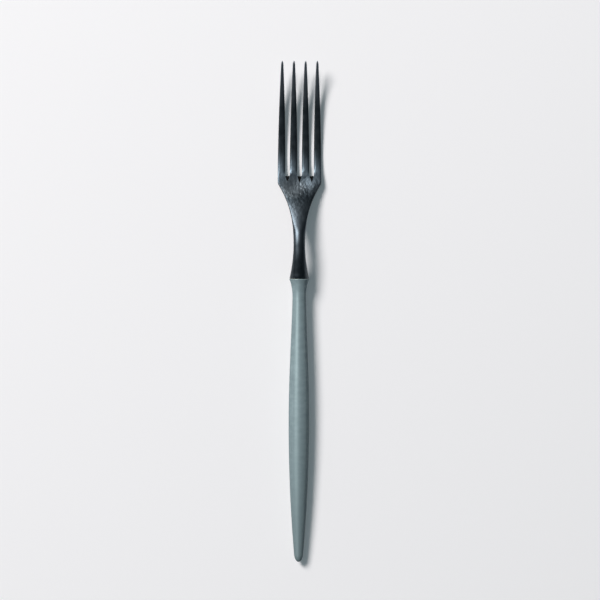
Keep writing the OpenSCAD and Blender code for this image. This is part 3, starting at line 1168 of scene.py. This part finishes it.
    def tine_rows(self, root: np.ndarray, tine: int) -> list[np.ndarray]:
        """Makes a tine's loops, which turn from the slot's square edges to the tine's own section.

        Args:
            root: The body's last loop.
            tine: Index of the tine.

        Returns:
            The loops, from the tine's root to its tip.
        """
        own = section(self.tine_angles, self.tine_section_power)
        first_loop = self.tine_root(root, tine)
        slot_at = np.array(self.slot_at)
        across = first_loop[:, 0] - self.tine_middle(tine, slot_at)
        square = np.stack(
            [
                across / self.tine_half_width(slot_at),
                self.root_rise(first_loop) / self.tine_half_thickness(slot_at),
            ]
        )
        tip_start = self.tip_at - self.tine_tip_round
        tip_turn = steps(0.0, QUARTER_TURN, self.tip_steps)[:-1]
        stations = np.concatenate(
            [
                steps(self.slot_at, tip_start, self.tine_steps),
                tip_start + self.tine_tip_round * np.sin(tip_turn),
            ]
        )
        rows = [first_loop]
        for station in stations:
            unit = mix(square, own, eased((station - self.slot_at) / self.root_blend))
            across = self.tine_middle(tine, station) + unit[0] * self.tine_half_width(station)
            rise = unit[1] * self.tine_half_thickness(station)
            rows.append(self.on_spine(station, across, rise + self.dish(station, across)))
        return rows

    def root_rise(self, loop: np.ndarray) -> np.ndarray:
        """Works out how far points at the tines' roots lie above the centre line, without the dish.

        Args:
            loop: A tine's first loop.

        Returns:
            The points' rises.
        """
        station = np.array(self.slot_at)
        foot = self.on_spine(station, np.array(0.0), np.array(0.0))
        upright = self.on_spine(station, np.array(0.0), np.array(1.0)) - foot
        return (loop - foot) @ upright - self.dish(station, loop[:, 0])

    def build(self) -> bpy.types.Object:
        """Builds the head's mesh, in place of its CAD node.

        Returns:
            The head.
        """
        draft = MeshDraft()
        rows = self.body_rows()
        draft.add_fan(rows[0], self.axis.point(-self.bore_depth))
        draft.add_patch(rows)
        root = rows[-1]
        for tine in range(self.tine_count):
            tine_rows = self.tine_rows(root, tine)
            draft.add_patch(tine_rows)
            tip = np.array(self.tip_at)
            middle = self.tine_middle(tine, tip)
            draft.add_fan(tine_rows[-1], self.on_spine(tip, middle, self.dish(tip, middle)))
        # The slots' ends get the near-black painted shade as their own finish.
        for slot in range(self.tine_count - 1):
            first = slot * self.stride + self.tine_columns - 1
            columns = range(first, first + self.slot_columns + 2)
            slot_end = [self.root_column(root, column) for column in columns]
            draft.add_patch(slot_end, is_ring=False, finish=FaceFinish.SLOT_END)
        piece = draft.to_object("head", self.crease_angle)
        self.finish.add_to(piece)
        self.slot_shade_finish.add_to(piece)
        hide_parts(CadNode.FORK_HEAD.value)
        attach(piece, BODY)
        return piece


@dataclass
class Handle:
    """The turned handle: a rim, a flared waist, a long belly and a blunt end, all round."""

    axis: HandleAxis
    finish: Finish = field(default_factory=GreyResin)

    length: float = 121.6 * MM
    rim_diameter: float = 8.5 * MM
    rim_edge: float = 0.2 * MM
    rim_width: float = 0.55 * MM
    waist_diameter: float = 5.8 * MM
    waist_reach: float = 8.0 * MM
    belly_diameter: float = 8.84 * MM
    belly_reach: float = 61.0 * MM
    end_diameter: float = 3.3 * MM
    end_round: float = 3.0 * MM
    socket_diameter: float = 3.4 * MM
    socket_depth: float = 71.2 * MM
    seam_film: float = 0.12 * MM

    waist_flare_power: float = 2.4
    belly_rise_power: float = 1.3
    belly_fall_power: float = 2.0

    turns: int = 160
    edge_points: int = 9
    flare_points: int = 50
    rise_points: int = 70
    fall_points: int = 80
    end_points: int = 24
    crease_angle: float = math.radians(40.0)

    def fall_radius(self, reach: np.ndarray) -> np.ndarray:
        """Returns the radius of the long taper from the belly to the end."""
        share = share_of(reach, self.belly_reach, self.length)
        return mix(self.belly_diameter, self.end_diameter, share**self.belly_fall_power) / 2.0

    def profile(self) -> np.ndarray:
        """Draws the handle's outer profile.

        Returns:
            Rows of radius and distance from the rim's face, from the rim to the end.
        """
        turn = np.linspace(0.0, QUARTER_TURN, self.edge_points)
        radius = self.rim_diameter / 2.0 - self.rim_edge * (1.0 - np.sin(turn))
        rim = np.column_stack([radius, self.rim_edge * (1.0 - np.cos(turn))])

        reach = np.linspace(self.rim_width, self.waist_reach, self.flare_points)
        share = share_of(reach, self.waist_reach, self.rim_width)
        flare_top = self.rim_diameter - 2.0 * self.rim_edge
        radius = mix(self.waist_diameter, flare_top, share**self.waist_flare_power) / 2.0
        flare = np.column_stack([radius, reach])

        reach = np.linspace(self.waist_reach, self.belly_reach, self.rise_points)[1:]
        share = share_of(reach, self.waist_reach, self.belly_reach)
        swell = np.sin(QUARTER_TURN * share) ** self.belly_rise_power
        radius = mix(self.waist_diameter, self.belly_diameter, swell) / 2.0
        rise = np.column_stack([radius, reach])

        reach = np.linspace(self.belly_reach, self.length - self.end_round, self.fall_points)[1:]
        fall = np.column_stack([self.fall_radius(reach), reach])

        turn = np.linspace(0.0, QUARTER_TURN, self.end_points)[1:-1]
        reach = self.length - self.end_round * (1.0 - np.sin(turn))
        end = np.column_stack([self.fall_radius(reach) * np.cos(turn), reach])
        return np.concatenate([rim, flare, rise, fall, end])

    def build(self) -> bpy.types.Object:
        """Builds the handle's mesh with its socket, in place of its CAD node.

        Returns:
            The handle.
        """
        angles = np.arange(self.turns) * math.tau / self.turns
        socket_radius = self.socket_diameter / 2.0
        socket = [
            self.axis.ring(socket_radius, distance, angles)
            for distance in (self.socket_depth, self.seam_film)
        ]
        outside = [
            self.axis.ring(radius, self.seam_film + reach, angles)
            for radius, reach in self.profile()
        ]
        draft = MeshDraft()
        draft.add_fan(socket[0], self.axis.point(self.socket_depth))
        draft.add_patch(socket + outside)
        draft.add_fan(outside[-1], self.axis.point(self.seam_film + self.length))
        piece = draft.to_object("grip", self.crease_angle)
        self.finish.add_to(piece)
        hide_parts(CadNode.HANDLE.value)
        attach(piece, BODY)
        return piece


@dataclass
class TangJoint:
    """The hidden joint: a grooved steel pin bonded into the handle."""

    tang_seat: float = 2.5 * MM
    tang_reach: float = 70.0 * MM
    pin_finish: Finish = field(default_factory=TurnedSteel)
    bond_finish: Finish = field(default_factory=CuredAdhesive)

    def axis(self) -> HandleAxis:
        """Returns the axis that the pin gives to the head and the handle."""
        return HandleAxis.from_frame(self.tang_seat, self.tang_reach)

    def dress(self) -> list[bpy.types.Object]:
        """Gives the CAD nodes of the pin and the adhesive their finishes.

        Returns:
            The two nodes' objects.
        """
        pin = frame["nodes"][CadNode.TANG_PIN.value]
        bond = frame["nodes"][CadNode.TANG_BOND.value]
        self.pin_finish.apply(pin)
        self.bond_finish.apply(bond)
        return [pin, bond]


@dataclass(frozen=True)
class SoftLight:
    """A soft round light that hangs in a direction from the fork and faces it."""

    name: str
    direction: Triple
    distance: float
    diameter: float
    power: float
    is_mirrored: bool = True

    def build(self) -> None:
        """Hangs the light; one that isn't mirrored gives no highlights."""
        lamp = bpy.data.lights.new(self.name, "AREA")
        lamp.shape = "DISK"
        lamp.size = self.diameter
        lamp.energy = self.power
        light = bpy.data.objects.new(self.name, lamp)
        direction = Vector(self.direction).normalized()
        light.location = direction * self.distance
        light.rotation_euler = direction.to_track_quat("Z", "Y").to_euler()
        light.visible_glossy = self.is_mirrored
        bpy.context.scene.collection.objects.link(light)


@dataclass
class Studio:
    """The table, the soft light from the upper left and the camera straight above."""

    floor_size: float = 12.0
    floor_colour: Colour = (0.895, 0.85, 0.848)
    floor_bounce: Colour = (0.5, 0.5, 0.505)
    floor_glow: Colour = (0.083, 0.104, 0.108)
    wall_colour: Colour = (0.85, 0.86, 0.88)
    ceiling_colour: Colour = (0.045, 0.065, 0.08)
    wall_foot: float = 0.08
    wall_top: float = 0.14
    camera_height: float = 1.0
    camera_roll: float = 0.0026
    view_width: float = 257.6 * MM
    view_centre: tuple[float, float] = (0.34 * MM, 5.1 * MM)
    view_level: float = 5.0 * MM
    sensor_width: float = 36.0
    lights: tuple[SoftLight, ...] = (
        SoftLight("key", (-0.485, 0.505, 0.714), distance=3.2, diameter=1.25, power=110.0),
        SoftLight(
            "fill", (-0.45, 0.3, 0.84), distance=3.0, diameter=4.0, power=7.0, is_mirrored=False
        ),
    )

    def build(self) -> None:
        """Builds the floor, the surroundings, the lights and the camera."""
        self.build_floor()
        self.build_surroundings()
        for light in self.lights:
            light.build()
        self.build_camera()
        bpy.context.scene.view_settings.view_transform = "Standard"

    def build_floor(self) -> None:
        """Lays the pale matt table, which isn't part of the fork."""
        half = self.floor_size / 2.0
        mesh = bpy.data.meshes.new("table")
        corners = [(-half, -half, 0.0), (half, -half, 0.0), (half, half, 0.0), (-half, half, 0.0)]
        mesh.from_pydata(corners, [], [(0, 1, 2, 3)])
        graph = NodeGraph(bpy.data.materials.new("pale_table"))
        seen = graph.seen_share()
        mesh.materials.append(
            graph.close(
                {
                    "Base Color": graph.blend(seen, self.floor_bounce, self.floor_colour),
                    "Roughness": 1.0,
                    "Specular IOR Level": 0.0,
                    "Emission Color": opaque(self.floor_glow),
                    "Emission Strength": seen,
                }
            )
        )
        table = bpy.data.objects.new("table", mesh)
        bpy.context.scene.collection.objects.link(table)

    def build_surroundings(self) -> None:
        """Surrounds the table with low pale walls under a dim ceiling."""
        world = bpy.data.worlds.new("studio")
        graph = NodeGraph(world)
        place = graph.add("ShaderNodeTexCoord").outputs["Generated"]
        height = graph.add("ShaderNodeSeparateXYZ", {"Vector": place}).outputs["Z"]
        ramp = graph.add("ShaderNodeValToRGB", {"Fac": height})
        wall, ceiling = ramp.color_ramp.elements
        wall.position, wall.color = self.wall_foot, opaque(self.wall_colour)
        ceiling.position, ceiling.color = self.wall_top, opaque(self.ceiling_colour)
        sky = graph.add("ShaderNodeBackground", {"Color": ramp.outputs["Color"]})
        graph.add("ShaderNodeOutputWorld", {"Surface": sky.outputs["Background"]})
        bpy.context.scene.world = world

    def build_camera(self) -> None:
        """Hangs the camera straight above the fork, with the tines to the top of the picture."""
        lens = bpy.data.cameras.new("camera")
        lens.sensor_width = self.sensor_width
        lens.lens = self.sensor_width * (self.camera_height - self.view_level) / self.view_width
        camera = bpy.data.objects.new("camera", lens)
        camera.location = (*self.view_centre, self.camera_height)
        camera.rotation_euler = (0.0, 0.0, self.camera_roll)
        bpy.context.scene.collection.objects.link(camera)
        bpy.context.scene.camera = camera


def main() -> None:
    """Builds the fork and its studio, and reports each piece."""
    logging.basicConfig(level=logging.INFO, format="%(message)s")
    joint = TangJoint()
    axis = joint.axis()
    pieces = [ForkHead(axis).build(), Handle(axis).build(), *joint.dress()]
    for piece in pieces:
        finish = piece.data.materials[0].name
        LOG.info("%s: %d faces, finish %s", piece.name, len(piece.data.polygons), finish)
    Studio().build()


if __name__ == "__main__":
    main()
